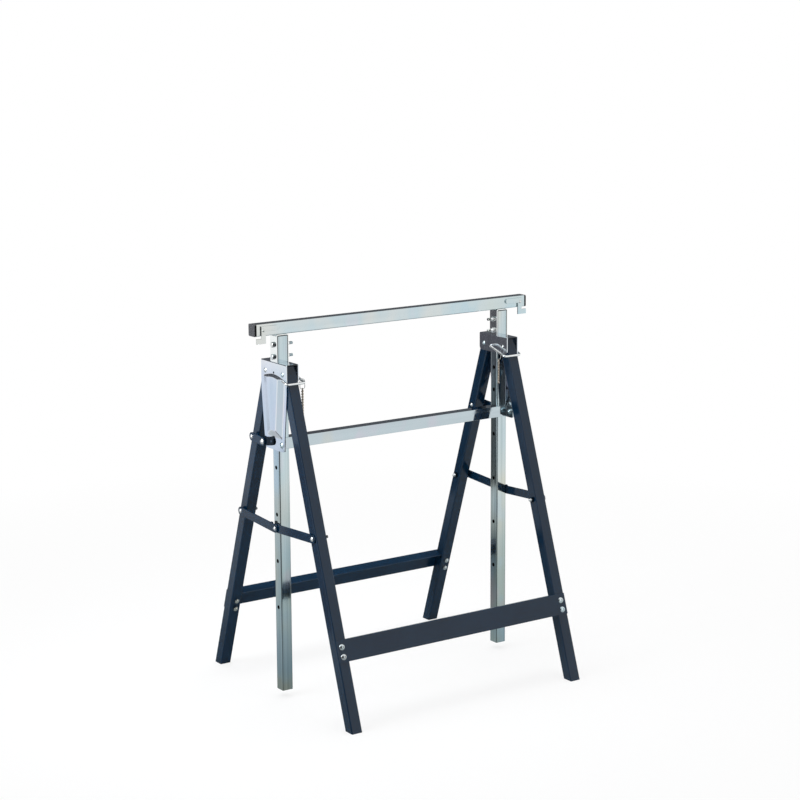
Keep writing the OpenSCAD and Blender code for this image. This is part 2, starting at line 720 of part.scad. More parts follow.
top_bar();
end_cap(LEFT);  // left_end_cap
end_cap(RIGHT);  // right_end_cap
end_stop(LEFT);  // left_end_stop
end_stop(RIGHT);  // right_end_stop
stop_rivets();
post_strap(LEFT);  // left_post_strap
post_strap(RIGHT);  // right_post_strap
post(LEFT);  // left_post
post(RIGHT);  // right_post
strap_bolts();
strap_nuts();
head_bracket(LEFT);  // left_head_bracket
head_bracket(RIGHT);  // right_head_bracket
leg_pivot_rivets();
crossbar();
crossbar_bolts();
crossbar_nuts();
lock_pin(LEFT);  // left_lock_pin
lock_pin(RIGHT);  // right_lock_pin
pin_ring(LEFT);  // left_pin_ring
pin_ring(RIGHT);  // right_pin_ring
pin_chain(LEFT);  // left_pin_chain
pin_chain(RIGHT);  // right_pin_chain
leg(LEFT, FRONT);  // left_front_leg
leg(RIGHT, FRONT);  // right_front_leg
leg(LEFT, REAR);  // left_rear_leg
leg(RIGHT, REAR);  // right_rear_leg
stretcher(FRONT);  // front_stretcher
stretcher(REAR);  // rear_stretcher
stretcher_bolts(FRONT);  // front_stretcher_bolts
stretcher_nuts(FRONT);  // front_stretcher_nuts
stretcher_bolts(REAR);  // rear_stretcher_bolts
stretcher_nuts(REAR);  // rear_stretcher_nuts
front_brace(LEFT);  // left_front_brace
front_brace(RIGHT);  // right_front_brace
rear_brace(LEFT);  // left_rear_brace
rear_brace(RIGHT);  // right_rear_brace
front_brace_rivets();
rear_brace_rivets();
brace_rivet_head(LEFT);  // left_brace_rivet_head
brace_rivet_head(RIGHT);  // right_brace_rivet_head
brace_rivet_tail(LEFT);  // left_brace_rivet_tail
brace_rivet_tail(RIGHT);  // right_brace_rivet_tail
stay_leg_link(LEFT);  // left_stay_leg_link
stay_leg_link(RIGHT);  // right_stay_leg_link
stay_head_link(LEFT);  // left_stay_head_link
stay_head_link(RIGHT);  // right_stay_head_link
stay_leg_rivets();
stay_head_rivets();
stay_bolt(LEFT);  // left_stay_bolt
stay_bolt(RIGHT);  // right_stay_bolt
stay_bolt_tail(LEFT);  // left_stay_bolt_tail
stay_bolt_tail(RIGHT);  // right_stay_bolt_tail
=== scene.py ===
"""Looks of the folding builders' trestle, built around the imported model."""

import json
import math

import bmesh
import bpy
from mathutils import Matrix, Vector


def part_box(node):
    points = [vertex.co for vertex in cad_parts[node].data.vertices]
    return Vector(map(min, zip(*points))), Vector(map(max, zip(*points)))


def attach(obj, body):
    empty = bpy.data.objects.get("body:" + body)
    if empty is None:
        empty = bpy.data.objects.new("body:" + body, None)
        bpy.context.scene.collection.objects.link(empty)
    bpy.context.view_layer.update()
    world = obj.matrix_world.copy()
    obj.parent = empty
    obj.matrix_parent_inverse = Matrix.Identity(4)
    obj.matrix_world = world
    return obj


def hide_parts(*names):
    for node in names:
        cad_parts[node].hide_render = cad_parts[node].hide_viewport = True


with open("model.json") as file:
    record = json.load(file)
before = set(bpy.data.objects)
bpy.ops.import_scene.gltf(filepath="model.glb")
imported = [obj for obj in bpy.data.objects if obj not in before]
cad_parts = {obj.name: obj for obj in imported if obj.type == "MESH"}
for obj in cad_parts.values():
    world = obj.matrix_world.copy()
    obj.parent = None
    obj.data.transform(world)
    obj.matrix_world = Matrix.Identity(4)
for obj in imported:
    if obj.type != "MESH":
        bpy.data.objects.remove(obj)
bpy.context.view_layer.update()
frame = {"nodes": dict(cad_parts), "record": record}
NODES = frame["nodes"]
RECORD = frame["record"]
SLOT = {row["node"]: row["material_slot"] for row in RECORD["subparts"]}
BODY = {node: body for body, members in RECORD["behaviour"]["bodies"].items() for node in members}
SIDES = ("left", "right")
MM = 0.001

# Main sizes of the solids, in millimetres
POST_X, PIN_Z, BAR_BASE = 280.0, 695.0, 775.0
HALF_TUBE, STRAP_OUT = 12.5, 14.6
PIVOT_OFFSET, FOOT_OFFSET = 34.0, 267.0
LEAN = math.atan((FOOT_OFFSET - PIVOT_OFFSET) / PIN_Z)

# Head brackets: the bent sheet, the opening for the post, the two flanges and the pressed panel
HEAD_SHEET, HEAD_BEND, HEAD_TOP = 2.0, 2.0, 717.0
HOLE_HALF, PIN_HOLE, EDGE_ROOM = 12.9, 2.6, 0.1
FLANGE_OUT, FLANGE_CORNER = 14.9, 8.0
LONG_FOOT, SHORT_FOOT, TAPER_TOP = 533.0, 679.0, 657.0
HALF_TOP, HALF_FOOT = 50.0, 38.0
PANEL_RAISE, PANEL_MARGIN, PANEL_SLOPE = 4.0, 8.0, 21.0
PANEL_SHOULDER, PANEL_ARCH, PANEL_FOOT = 683.5, 8.0, 561.0
PANEL_RISE_TOP, PANEL_RISE_FOOT = 5.0, 12.0
PANEL_SOFT_SIDES, PANEL_SOFT_EDGES = 0.3, 0.15

# Crossbar and stretchers: places, the stretchers' sheet, and the radii of folds and softened edges
CROSSBAR_Z, CROSSBAR_HALF, CROSSBAR_FACE = 547.0, 12.0, -15.1
STRETCHER_Z, STRETCHER_FOLD_Z, STRETCHER_SHEET = 154.0, 175.0, 2.5
CROSSBAR_FOLD, CROSSBAR_EDGE = 2.0, 0.3
STRETCHER_FOLD, STRETCHER_EDGE = 2.2, 0.4
FOLD_SEGMENTS, EDGE_SEGMENTS = 4, 2

# Fasteners: one thread, a hexagon, a domed head with a socket, and the bolts' places and ends
THREAD, PITCH, THREAD_CHAMFER = 6.0, 1.0, 0.8
ACROSS, NUT_HEIGHT = THREAD * 1.65, THREAD * 0.75
HEX_FLAT, HEX_SLOPE = 0.93, 0.55
NUT_ROOM, NUT_CHAMFER = 0.1, 0.3
COLLAR_HEIGHT, COLLAR_SHARE = 3.0, 0.9
DOME_SIZE, DOME_HEIGHT, DOME_RIM, DOME_STEPS = THREAD * 2.15, 3.4, 0.05, 8
SOCKET_SIZE, SOCKET_RIM, SOCKET_DEPTH, SOCKET_EDGE = THREAD * 0.62, THREAD * 0.38, 2.2, 0.35
STRAP_BOLT_ROWS, STRAP_BOLT_TAIL = [BAR_BASE - drop for drop in (22.0, 47.0)], 16.0
CROSSBAR_BOLT_Y, CROSSBAR_SHANK, CROSSBAR_TAIL, CROSSBAR_NUT = -28.0, 3.8, 10.0, 4.0
STRETCHER_SHANK, STRETCHER_TAIL, STRETCHER_NUT = 27.0, 33.5, 27.5
STRETCHER_BOLT_LOWER, STRETCHER_BOLT_HALF_GAP = 2.0, 10.0
STRETCHER_BOLTS = -(PIN_Z - STRETCHER_Z) / math.cos(LEAN) - STRETCHER_BOLT_LOWER
STRETCHER_BOLT_ROWS = [STRETCHER_BOLTS + s * STRETCHER_BOLT_HALF_GAP for s in (-1, 1)]
LEG_HEAD_SIZE, LEG_HEAD, LEG_BOLT_END = 10.0, 2.5, 9.5
LEG_COLLAR, LEG_COLLAR_START = 4.5, 3.4

# Chain: twisted links, and the inset that keeps a ring clear of its wire while the bow swings
LINK_COUNT, LINK_INNER, LINK_WIDTH, LINK_WIRE, LINK_LAP = 9, 6.0, 3.8, 1.8, 0.2
RING_INSET = 0.15

scene = bpy.context.scene
scene.view_settings.view_transform = "Standard"


# Camera, fitted to the photograph

LENS, SENSOR, SHIFT_UP = 93.88, 36.0, -0.0317
CAMERA_PLACE = (-2.4354, -3.6190, 1.4876)
YAW, PITCH_DOWN, ROLL = math.radians(-34.13), math.radians(10.77), math.radians(-0.31)


def add_camera():
    data = bpy.data.cameras.new("camera")
    data.sensor_width = SENSOR
    data.lens = LENS
    data.shift_y = SHIFT_UP
    data.clip_end = 100.0
    camera = bpy.data.objects.new("camera", data)
    scene.collection.objects.link(camera)
    camera.location = CAMERA_PLACE
    tilt = Matrix.Rotation(math.pi / 2 - PITCH_DOWN, 4, "X")
    turn = Matrix.Rotation(YAW, 4, "Z") @ tilt @ Matrix.Rotation(ROLL, 4, "Z")
    camera.rotation_euler = turn.to_euler()
    scene.camera = camera


# Materials

class Shader:
    """A material under construction: its nodes, links and Principled shader."""

    def __init__(self, name):
        self.material = bpy.data.materials.new(name)
        self.material.use_nodes = True
        self.tree = self.material.node_tree
        self.principled = self.tree.nodes["Principled BSDF"]
        self.surface = self.tree.nodes["Material Output"].inputs["Surface"]
        self.place = self.new("ShaderNodeTexCoord").outputs["Object"]

    def new(self, kind, **values):
        node = self.tree.nodes.new(kind)
        for key, value in values.items():
            setattr(node, key, value)
        return node

    def feed(self, socket, value):
        """Joins an output to a socket, or sets the socket to a number or colour."""
        if isinstance(value, bpy.types.NodeSocket):
            self.tree.links.new(value, socket)
        elif isinstance(value, tuple) and socket.type == "RGBA":
            socket.default_value = (*value, 1.0)
        else:
            socket.default_value = value

    def put(self, **values):
        for name, value in values.items():
            self.feed(self.principled.inputs[name.replace("_", " ")], value)

    def stretched(self, scale):
        """Object coordinates, stretched along an axis by a small scale on it."""
        mapping = self.new("ShaderNodeMapping")
        mapping.inputs["Scale"].default_value = scale
        self.feed(mapping.inputs["Vector"], self.place)
        return mapping.outputs["Vector"]

    def noise(self, vector, scale, detail=3.0, rough=0.5):
        node = self.new("ShaderNodeTexNoise")
        values = {"Vector": vector, "Scale": scale, "Detail": detail, "Roughness": rough}
        for socket, value in values.items():
            self.feed(node.inputs[socket], value)
        return node.outputs["Fac"]

    def ramp(self, value, stops):
        node = self.new("ShaderNodeValToRGB")
        points = node.color_ramp.elements
        while len(points) < len(stops):
            points.new(0.5)
        for point, (place, colour) in zip(points, stops):
            point.position = place
            point.color = (*colour, 1.0)
        self.feed(node.inputs["Fac"], value)
        return node.outputs["Color"]

    def spread(self, value, low, high, to_low, to_high):
        node = self.new("ShaderNodeMapRange")
        limits = {"From Min": low, "From Max": high, "To Min": to_low, "To Max": to_high}
        for socket, number in limits.items():
            node.inputs[socket].default_value = number
        self.feed(node.inputs["Value"], value)
        return node.outputs["Result"]

    def math(self, operation, a, b=0.0):
        node = self.new("ShaderNodeMath", operation=operation)
        self.feed(node.inputs[0], a)
        self.feed(node.inputs[1], b)
        return node.outputs[0]

    def above(self, value, limit):
        """1 where a length is over a limit in millimetres."""
        return self.math("GREATER_THAN", value, limit * MM)

    def below(self, value, limit):
        """1 where a length is under a limit in millimetres."""
        return self.math("LESS_THAN", value, limit * MM)

    def both(self, a, b):
        return self.math("MULTIPLY", a, b)

    def axes(self):
        node = self.new("ShaderNodeSeparateXYZ")
        self.feed(node.inputs[0], self.place)
        return node.outputs

    def from_post(self):
        """Distances from the nearer post's axis along x and along y, and the height."""
        x, y, z = self.axes()
        off_axis = self.math("SUBTRACT", self.math("ABSOLUTE", x), POST_X * MM)
        return self.math("ABSOLUTE", off_axis), self.math("ABSOLUTE", y), z

    def from_origin(self):
        node = self.new("ShaderNodeVectorMath", operation="LENGTH")
        self.feed(node.inputs[0], self.place)
        return node.outputs["Value"]

    def mix(self, factor, a, b, blend="MIX"):
        node = self.new("ShaderNodeMix", data_type="RGBA", blend_type=blend)
        for socket, value in ((node.inputs[0], factor), (node.inputs[6], a), (node.inputs[7], b)):
            self.feed(socket, value)
        return node.outputs[2]

    def bump(self, height, strength, distance):
        node = self.new("ShaderNodeBump")
        for socket, value in (("Strength", strength), ("Distance", distance), ("Height", height)):
            self.feed(node.inputs[socket], value)
        self.put(Normal=node.outputs["Normal"])

    def glow(self, colour):
        """Makes the surface shine in a colour of its own."""
        node = self.new("ShaderNodeEmission")
        self.feed(node.inputs["Color"], colour)
        self.feed(self.surface, node.outputs[0])


WHITE = (1.0, 1.0, 1.0)
BUMP_DEPTH = 0.0002


def zinc_material(name, grain, base, tints, rough, extra_colour_and_painted_light=None):
    """Zinc plate with passivation tints, scuffs and drawing marks; grain is small along the marks."""
    s = Shader(name)
    patches = s.noise(s.stretched((7.0, 7.0, 4.0)), 1.0, 3.0, 0.6)
    colour = s.ramp(patches, [(0.32, tints[0]), (0.45, base), (0.56, tints[1]), (0.68, tints[2])])
    streaks = s.noise(s.stretched(grain), 90.0, 4.0, 0.6)
    marks = s.ramp(streaks, [(0.3, (0.86, 0.86, 0.86)), (0.7, WHITE)])
    colour = s.mix(0.5, colour, marks, "MULTIPLY")
    scuffs = s.noise(s.place, 260.0, 5.0, 0.7)
    colour = s.mix(s.spread(scuffs, 0.62, 0.74, 0.0, 0.35), colour, (0.42, 0.44, 0.44))
    # The extra colour pass adds tint with painted reflection and shade on the posts, painted reflection on
    # the bar, and darker top edges on the brackets
    if extra_colour_and_painted_light:
        colour = extra_colour_and_painted_light(s, colour)
    s.put(Metallic=1.0, Base_Color=colour,
          Roughness=s.spread(streaks, 0.3, 0.7, rough - 0.04, rough + 0.06))
    s.bump(streaks, 0.08, BUMP_DEPTH)
    return s.material


# Half sizes in millimetres of the post's bore, which gets painted shade, and of its corners, which get
# painted dark reflection
POST_BORE, POST_CORNER = 11.4, 11.0


def post_tints_and_painted_light(s, colour):
    """Gold and blue tint that grows towards the feet as painted reflection, long drawing runs, painted dark
    reflection on the corners, and painted shade inside the bore.
    """
    off_x, off_y, z = s.from_post()
    # The gold and blue patches are passivation tint, and their growth towards the feet is painted
    # reflection
    low = s.spread(z, 0.55, 0.05, 0.0, 0.9)
    patches = s.noise(s.stretched((16.0, 16.0, 9.0)), 1.0, 2.0)
    blue, plain, gold = (0.86, 0.94, 0.98), (0.95, 0.98, 0.95), (1.0, 0.93, 0.78)
    tints = s.ramp(patches, [(0.36, blue), (0.45, plain), (0.54, gold)])
    colour = s.mix(low, colour, tints, "MULTIPLY")
    runs = s.noise(s.stretched((170.0, 170.0, 2.0)), 1.0, 2.0)
    marks = s.ramp(runs, [(0.36, (0.68, 0.71, 0.71)), (0.58, WHITE)])
    colour = s.mix(0.6, colour, marks, "MULTIPLY")
    # Painted reflection: the rounded corners of the tube are darkened, as dark surroundings would show
    # there
    corner = s.both(s.above(off_x, POST_CORNER), s.above(off_y, POST_CORNER))
    colour = s.mix(corner, colour, (0.35, 0.37, 0.38), "MULTIPLY")
    # Painted shade: the bore of the tube is near black
    inside = s.both(s.below(off_x, POST_BORE), s.below(off_y, POST_BORE))
    return s.mix(inside, colour, (0.012, 0.012, 0.014))


LIP_DEPTH = 2.5


def bracket_plate(s, colour):
    """Darkens the cut front and rear edges of a bracket's top."""
    off_x, off_y, z = s.from_post()
    edge = s.both(s.above(off_y, HALF_TOP - EDGE_ROOM), s.above(z, HEAD_TOP - LIP_DEPTH))
    lip = s.both(s.below(off_x, HOLE_HALF - EDGE_ROOM), edge)
    return s.mix(lip, colour, (0.05, 0.055, 0.06))


def bar_painted_reflection(s, colour):
    """Painted reflection: bluer towards the bar's right end."""
    x = s.axes()[0]
    return s.mix(s.spread(x, 0.0, 0.3, 0.0, 1.0), colour, (0.86, 0.96, 1.0), "MULTIPLY")


def paint_material(name, gloss, low, high):
    """Navy powder coat with orange peel, cloudy tone and fine specks."""
    s = Shader(name)
    cloud = s.noise(s.place, 11.0, 3.0)
    base = s.ramp(cloud, [(0.35, low), (0.65, high)])
    speck = s.noise(s.place, 900.0, 2.0)
    peel = s.noise(s.place, 650.0, 3.0, 0.55)
    s.put(Base_Color=s.mix(s.spread(speck, 0.58, 0.75, 0.0, 0.3), base, (0.008, 0.03, 0.06)),
          Roughness=s.spread(peel, 0.3, 0.7, 0.09, 0.17), Specular_IOR_Level=gloss, IOR=1.5)
    s.bump(peel, 0.06, BUMP_DEPTH)
    return s.material


# Distance in millimetres from the bar's middle along y beyond which a cap's rim gets painted shade
CAP_RIM = HALF_TUBE - 0.3


def plastic_material():
    """Grained black plastic with painted shade round the rim of a cap: darker and less specular there."""
    s = Shader("moulded_black_plastic")
    grain = s.noise(s.place, 1400.0, 2.0)
    colour = s.ramp(grain, [(0.3, (0.056, 0.054, 0.058)), (0.7, (0.068, 0.066, 0.071))])
    # Painted shade: the cap's rim is near black and less specular
    painted_shade_rim = s.above(s.math("ABSOLUTE", s.axes()[1]), CAP_RIM)
    s.put(Base_Color=s.mix(painted_shade_rim, colour, (0.006, 0.006, 0.007)),
          Roughness=s.spread(grain, 0.3, 0.7, 0.45, 0.55),
          Specular_IOR_Level=s.math("SUBTRACT", 0.5, s.math("MULTIPLY", painted_shade_rim, 0.4)), IOR=1.46)
    s.bump(grain, 0.1, BUMP_DEPTH)
    return s.material


ZINC, ZINC_SHEET = (0.62, 0.70, 0.72), (0.78, 0.81, 0.87)
TINTS = ((0.70, 0.71, 0.62), (0.56, 0.68, 0.72), (0.70, 0.65, 0.74))
TINTS_DULL = ((0.58, 0.62, 0.60), (0.52, 0.61, 0.65), (0.60, 0.58, 0.66))
TINTS_BAR = ((0.69, 0.71, 0.67), (0.57, 0.68, 0.72), (0.68, 0.66, 0.73))
TINTS_SHEET = ((0.80, 0.81, 0.80), (0.74, 0.80, 0.85), (0.80, 0.78, 0.85))
TINT_STRAP, TINT_WIRE, TINT_RING = (0.86, 0.89, 0.88), (0.84, 0.86, 0.86), (0.56, 0.58, 0.58)
TINT_RIVET, TINT_CHAIN = (0.80, 0.81, 0.80), (0.55, 0.48, 0.40)
ALONG_X, ALONG_Z, ANY = (0.05, 1.0, 1.0), (1.0, 1.0, 0.05), (1.0, 1.0, 1.0)
NAVY_LOW, NAVY_HIGH = (0.002, 0.018, 0.044), (0.003, 0.023, 0.054)
# A near-black navy: painted shade on the stays' head links, and the colour of the dark nuts on the legs
DULL_LOW, DULL_HIGH = (0.002, 0.006, 0.012), (0.003, 0.009, 0.018)
MATERIALS = {
    "bar": zinc_material("zinc_drawn_along_x", ALONG_X, (0.68, 0.71, 0.70), TINTS_BAR, 0.08, bar_painted_reflection),
    "crossbar": zinc_material("zinc_rolled_along_x", ALONG_X, (0.54, 0.62, 0.66), TINTS_DULL, 0.07),
    "post": zinc_material("zinc_drawn_along_z", ALONG_Z, ZINC, TINTS, 0.09, post_tints_and_painted_light),
    "sheet": zinc_material("zinc_pressed_sheet", ALONG_Z, ZINC_SHEET, TINTS_SHEET, 0.11, bracket_plate),
    "strap": zinc_material("zinc_bent_strip", ALONG_Z, (0.88, 0.92, 0.92), (TINT_STRAP,) * 3, 0.10),
    "wire": zinc_material("zinc_bright_wire", ANY, (0.90, 0.92, 0.92), (TINT_WIRE,) * 3, 0.05),
    "ring": zinc_material("zinc_dull_wire", ANY, (0.62, 0.64, 0.64), (TINT_RING,) * 3, 0.05),
    "fastener": zinc_material("zinc_fastener", ANY, (0.70, 0.72, 0.72), TINTS, 0.12),
    "rivet": zinc_material("zinc_rivet", ANY, (0.84, 0.85, 0.85), (TINT_RIVET,) * 3, 0.30),
    "chain": zinc_material("zinc_chain", ANY, (0.52, 0.47, 0.41), (TINT_CHAIN,) * 3, 0.22),
    "navy": paint_material("navy_powder_coat", 0.4, NAVY_LOW, NAVY_HIGH),
    "dark_navy": paint_material("navy_dull_and_painted_shade", 0.06, DULL_LOW, DULL_HIGH),
    "plastic": plastic_material(),
}

# The material of each node: by its name, by its name at both ends, or else by its slot
KIND = {"top_bar": "bar", "crossbar": "crossbar", "strap_nuts": "rivet", "stay_leg_rivets": "rivet",
        "front_brace_rivets": "rivet", "rear_brace_rivets": "rivet"}
# The stays' head links take the near-black navy as painted shade
KIND_AT_ENDS = {"post": "post", "post_strap": "strap", "head_bracket": "sheet", "end_stop": "bar",
                "lock_pin": "wire", "pin_ring": "ring", "pin_chain": "chain", "brace_rivet_head": "rivet",
                "stay_bolt": "rivet", "stay_head_link": "dark_navy"}
for side in SIDES:
    KIND.update(("%s_%s" % (side, part), kind) for part, kind in KIND_AT_ENDS.items())
KIND_OF_SLOT = {"zinc": "fastener", "navy_paint": "navy", "black_plastic": "plastic"}


def material_of(node):
    return MATERIALS[KIND.get(node, KIND_OF_SLOT[SLOT[node]])]


def clothe(node):
    data = NODES[node].data
    if not data.materials:
        data.materials.append(None)
    for i in range(len(data.materials)):
        data.materials[i] = material_of(node)


# Places: an end of the bar, a leg and a point, from millimetres

def end_frame(side):
    """Moves a drawing of the left end to its place, mirrored for the right end."""
    left = Matrix.Translation((-POST_X * MM, 0.0, 0.0))
    return left if side == "left" else Matrix.Scale(-1.0, 4, (1.0, 0.0, 0.0)) @ left


def leg_frame(row):
    """A frame at a leg's pivot that leans with the leg; row is -1 at the front and 1 at the rear."""
    pivot = Matrix.Translation((0.0, row * PIVOT_OFFSET * MM, PIN_Z * MM))
    return pivot @ Matrix.Rotation(row * LEAN, 4, "X")


def at(x, y, z):
    return Matrix.Translation((x * MM, y * MM, z * MM))


# Pieces that stand for CAD nodes, with edges sharp where faces meet at more than these degrees

FORMED_SHARP, SHEET_SHARP, TURNED_SHARP, CHAIN_SHARP = 35.0, 40.0, 28.0, 60.0


def place(mesh, node):
    """Puts a finished mesh in a node's place, on its body and in its finish."""
    mesh.materials.clear()
    mesh.materials.append(material_of(node))
    piece = bpy.data.objects.new(node + "_formed", mesh)
    scene.collection.objects.link(piece)
    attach(piece, BODY[node])
    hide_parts(node)
    flat = piece.modifiers.new("flat_faces_stay_flat", "WEIGHTED_NORMAL")
    flat.keep_sharp = True
    flat.weight = 100
    return piece


def finished(work, node, degrees):
    """Turns a worked form into the node's piece, smooth where faces meet at less than the angle."""
    mesh = bpy.data.meshes.new(node + "_formed")
    work.to_mesh(mesh)
    work.free()
    smooth(mesh, degrees)
    return place(mesh, node)


def smooth(mesh, degrees):
    mesh.shade_smooth()
    mesh.set_sharp_from_angle(angle=math.radians(degrees))


def is_sharp(edge, degrees):
    return len(edge.link_faces) == 2 and edge.calc_face_angle(0.0) > math.radians(degrees)


BORE_FACE, HOLLOW_LOW, HOLLOW_HIGH = 12.0 * MM * MM, -0.5, -0.02


def in_bore(edge):
    """True where an edge is the rim of a hole, whose small wall faces meet at hollow angles."""
    return any(HOLLOW_LOW < other.calc_face_angle_signed(0.0) < HOLLOW_HIGH
               for face in edge.link_faces if face.calc_area() < BORE_FACE for other in face.edges)


def rounded(work, edges, radius, segments):
    if edges:
        bmesh.ops.bevel(work, geom=edges, offset=radius * MM, offset_type="OFFSET", segments=segments,
                        profile=0.5, affect="EDGES", clamp_overlap=True)


MERGE, FLAT_ANGLE, FOLD_ANGLE, EDGE_ANGLE, SLIVER = 0.002 * MM, 0.5, 5.0, 50.0, 0.005 * MM


def formed(node, edge=0.0, folds=(), inset=0.0):
    """The node's own solid with rolled folds and softened edges, drawn in by an inset.

    Each fold is a test of an edge's middle and run in millimetres, and a radius."""
    work = bmesh.new()
    work.from_mesh(NODES[node].data)
    bmesh.ops.remove_doubles(work, verts=work.verts, dist=MERGE)
    bmesh.ops.dissolve_limit(work, angle_limit=math.radians(FLAT_ANGLE), verts=work.verts, edges=work.edges)
    for test, radius in folds:
        chosen = []
        for e in work.edges:
            start, end = (vert.co / MM for vert in e.verts)
            if is_sharp(e, FOLD_ANGLE) and test((start + end) / 2, end - start):
                chosen.append(e)
        rounded(work, chosen, radius, FOLD_SEGMENTS)
    if edge:
        chosen = [e for e in work.edges if is_sharp(e, EDGE_ANGLE) and not in_bore(e)]
        rounded(work, chosen, edge, EDGE_SEGMENTS)
    bmesh.ops.dissolve_degenerate(work, dist=SLIVER, edges=work.edges)
    if inset:
        work.normal_update()
        for vert in work.verts:
            vert.co -= vert.normal * inset * MM
    return finished(work, node, FORMED_SHARP)


def near(value, target, room):
    return abs(value - target) < room


def crossbar_folds(middle, run):
    on_face = near(middle.y, CROSSBAR_FACE, 1.2)
    return on_face and near(abs(middle.z - CROSSBAR_Z), CROSSBAR_HALF, 0.05) and abs(run.x) > 5.0


def stretcher_folds(middle, run):
    return near(middle.z, STRETCHER_FOLD_Z, 6.0) and abs(run.x) > 100.0


# Head brackets: one bent sheet with a pressed panel

def soft_min(a, b, reach):
    gap = max(reach - abs(a - b), 0.0)
    return min(a, b) - gap * gap / (4 * reach)


def steps(start, end, count):
    """Count numbers from start, without the end."""
    return [start + (end - start) * i / count for i in range(count)]


def panel_height(y, z):
    """How far the pressed panel stands out of the long flange at a point."""
    taper = (z - PANEL_FOOT) / (PANEL_SHOULDER - PANEL_FOOT)
    base = HALF_FOOT + (HALF_TOP - HALF_FOOT) * taper - PANEL_MARGIN
    arch = PANEL_SHOULDER + PANEL_ARCH * math.cos(math.pi * y / 2 / (HALF_TOP - PANEL_MARGIN))
    ends = soft_min((arch - z) / PANEL_RISE_TOP, (z - PANEL_FOOT) / PANEL_RISE_FOOT, PANEL_SOFT_SIDES)
    share = soft_min((base - abs(y)) / PANEL_SLOPE, ends, PANEL_SOFT_SIDES)
    not_over = soft_min(share, 1.0, PANEL_SOFT_EDGES)
    return PANEL_RAISE * -soft_min(-not_over, 0.0, PANEL_SOFT_EDGES)


def flange_half(z, foot, half):
    """Half width of a flange at a height, with its rounded lower corners."""
    low = max(FLANGE_CORNER - (z - foot), 0.0)
    return half - FLANGE_CORNER + math.sqrt(FLANGE_CORNER ** 2 - low ** 2)


# Rows lie close together between these heights, where the panel's arch is
ARCH_LOW, ARCH_HIGH = 674.0, 694.0
CORNER_ROWS, LOW_ROWS, ARCH_ROWS, HIGH_ROWS, SHORT_ROWS, BEND_ROWS = 8, 54, 40, 8, 14, 6
SIDE_COLUMNS, MIDDLE_COLUMNS = 56, 40


def bracket_rows():
    """Rows of the bracket's outer side as (x, z, half width), from the long flange's foot over the top."""
    corner = [FLANGE_CORNER * (1 - math.cos(math.pi / 2 * i / CORNER_ROWS)) for i in range(CORNER_ROWS)]
    long_start, short_start = LONG_FOOT + FLANGE_CORNER, SHORT_FOOT + FLANGE_CORNER
    bend_start = HEAD_TOP - HEAD_BEND
    heights = [LONG_FOOT + c for c in corner] + steps(long_start, ARCH_LOW, LOW_ROWS)
    heights += steps(ARCH_LOW, ARCH_HIGH, ARCH_ROWS) + steps(ARCH_HIGH, bend_start, HIGH_ROWS)
    rows = []
    for z in heights:
        taper = min(max((z - long_start) / (TAPER_TOP - long_start), 0.0), 1.0)
        half = flange_half(z, LONG_FOOT, HALF_FOOT + (HALF_TOP - HALF_FOOT) * taper)
        rows.append((-FLANGE_OUT, z, half))
    bend = []
    for i in range(BEND_ROWS + 1):
        a = math.pi / 2 * i / BEND_ROWS
        x = HEAD_BEND - FLANGE_OUT - HEAD_BEND * math.cos(a)
        bend.append((x, HEAD_TOP - HEAD_BEND * (1 - math.sin(a)), HALF_TOP))
    over = [(-x, z, half) for x, z, half in reversed(bend)]
    rising = [SHORT_FOOT + c for c in corner] + steps(short_start, bend_start - 1.0, SHORT_ROWS)
    falling = [(FLANGE_OUT, z, flange_half(z, SHORT_FOOT, HALF_TOP)) for z in reversed(rising)]
    return rows + bend + over + falling


def bracket_sheet():
    """Outer side of the left bracket about its post, as a grid with the opening for the post."""
    edge = HOLE_HALF / HALF_TOP
    columns = steps(-1.0, -edge, SIDE_COLUMNS) + steps(-edge, edge, MIDDLE_COLUMNS)
    columns += steps(edge, 1.0, SIDE_COLUMNS) + [1.0]
    work = bmesh.new()
    grid = []
    for x, z, half in bracket_rows():
        row = []
        for c in columns:
            y = c * half
            out = panel_height(y, z) if x <= -FLANGE_OUT else 0.0
            row.append(work.verts.new(((x - out) * MM, y * MM, z * MM)))
        grid.append(row)
    for a, b in zip(grid, grid[1:]):
        for i in range(len(columns) - 1):
            over_post = abs(a[i].co.x + b[i].co.x) / 2 < (HOLE_HALF - EDGE_ROOM) * MM
            if not (over_post and abs(columns[i] + columns[i + 1]) / 2 < edge):
                work.faces.new((a[i], b[i], b[i + 1], a[i + 1]))
    return work


DRILL_LENGTH, SHEET_ROOM = 60.0, 0.05


def thick_and_drilled(mesh, spot):
    """The sheet with its thickness, and with the pin's hole along x through a point in millimetres."""
    body = bpy.data.objects.new("body", mesh)
    scene.collection.objects.link(body)
    drill = bmesh.new()
    bmesh.ops.create_cone(drill, cap_ends=True, segments=32, radius1=PIN_HOLE * MM, radius2=PIN_HOLE * MM,
                          depth=DRILL_LENGTH * MM, matrix=at(*spot) @ Matrix.Rotation(math.pi / 2, 4, "Y"))
    drill_mesh = bpy.data.meshes.new("drill")
    drill.to_mesh(drill_mesh)
    drill.free()
    cutter = bpy.data.objects.new("drill", drill_mesh)
    scene.collection.objects.link(cutter)
    thick = body.modifiers.new("sheet", "SOLIDIFY")
    thick.thickness = (HEAD_SHEET - SHEET_ROOM) * MM
    thick.offset = -1.0
    holes = body.modifiers.new("holes", "BOOLEAN")
    holes.object = cutter
    holes.solver = "EXACT"
    graph = bpy.context.evaluated_depsgraph_get()
    result = bpy.data.meshes.new_from_object(body.evaluated_get(graph))
    for thing in (body, cutter):
        data = thing.data
        bpy.data.objects.remove(thing)
        bpy.data.meshes.remove(data)
    return result


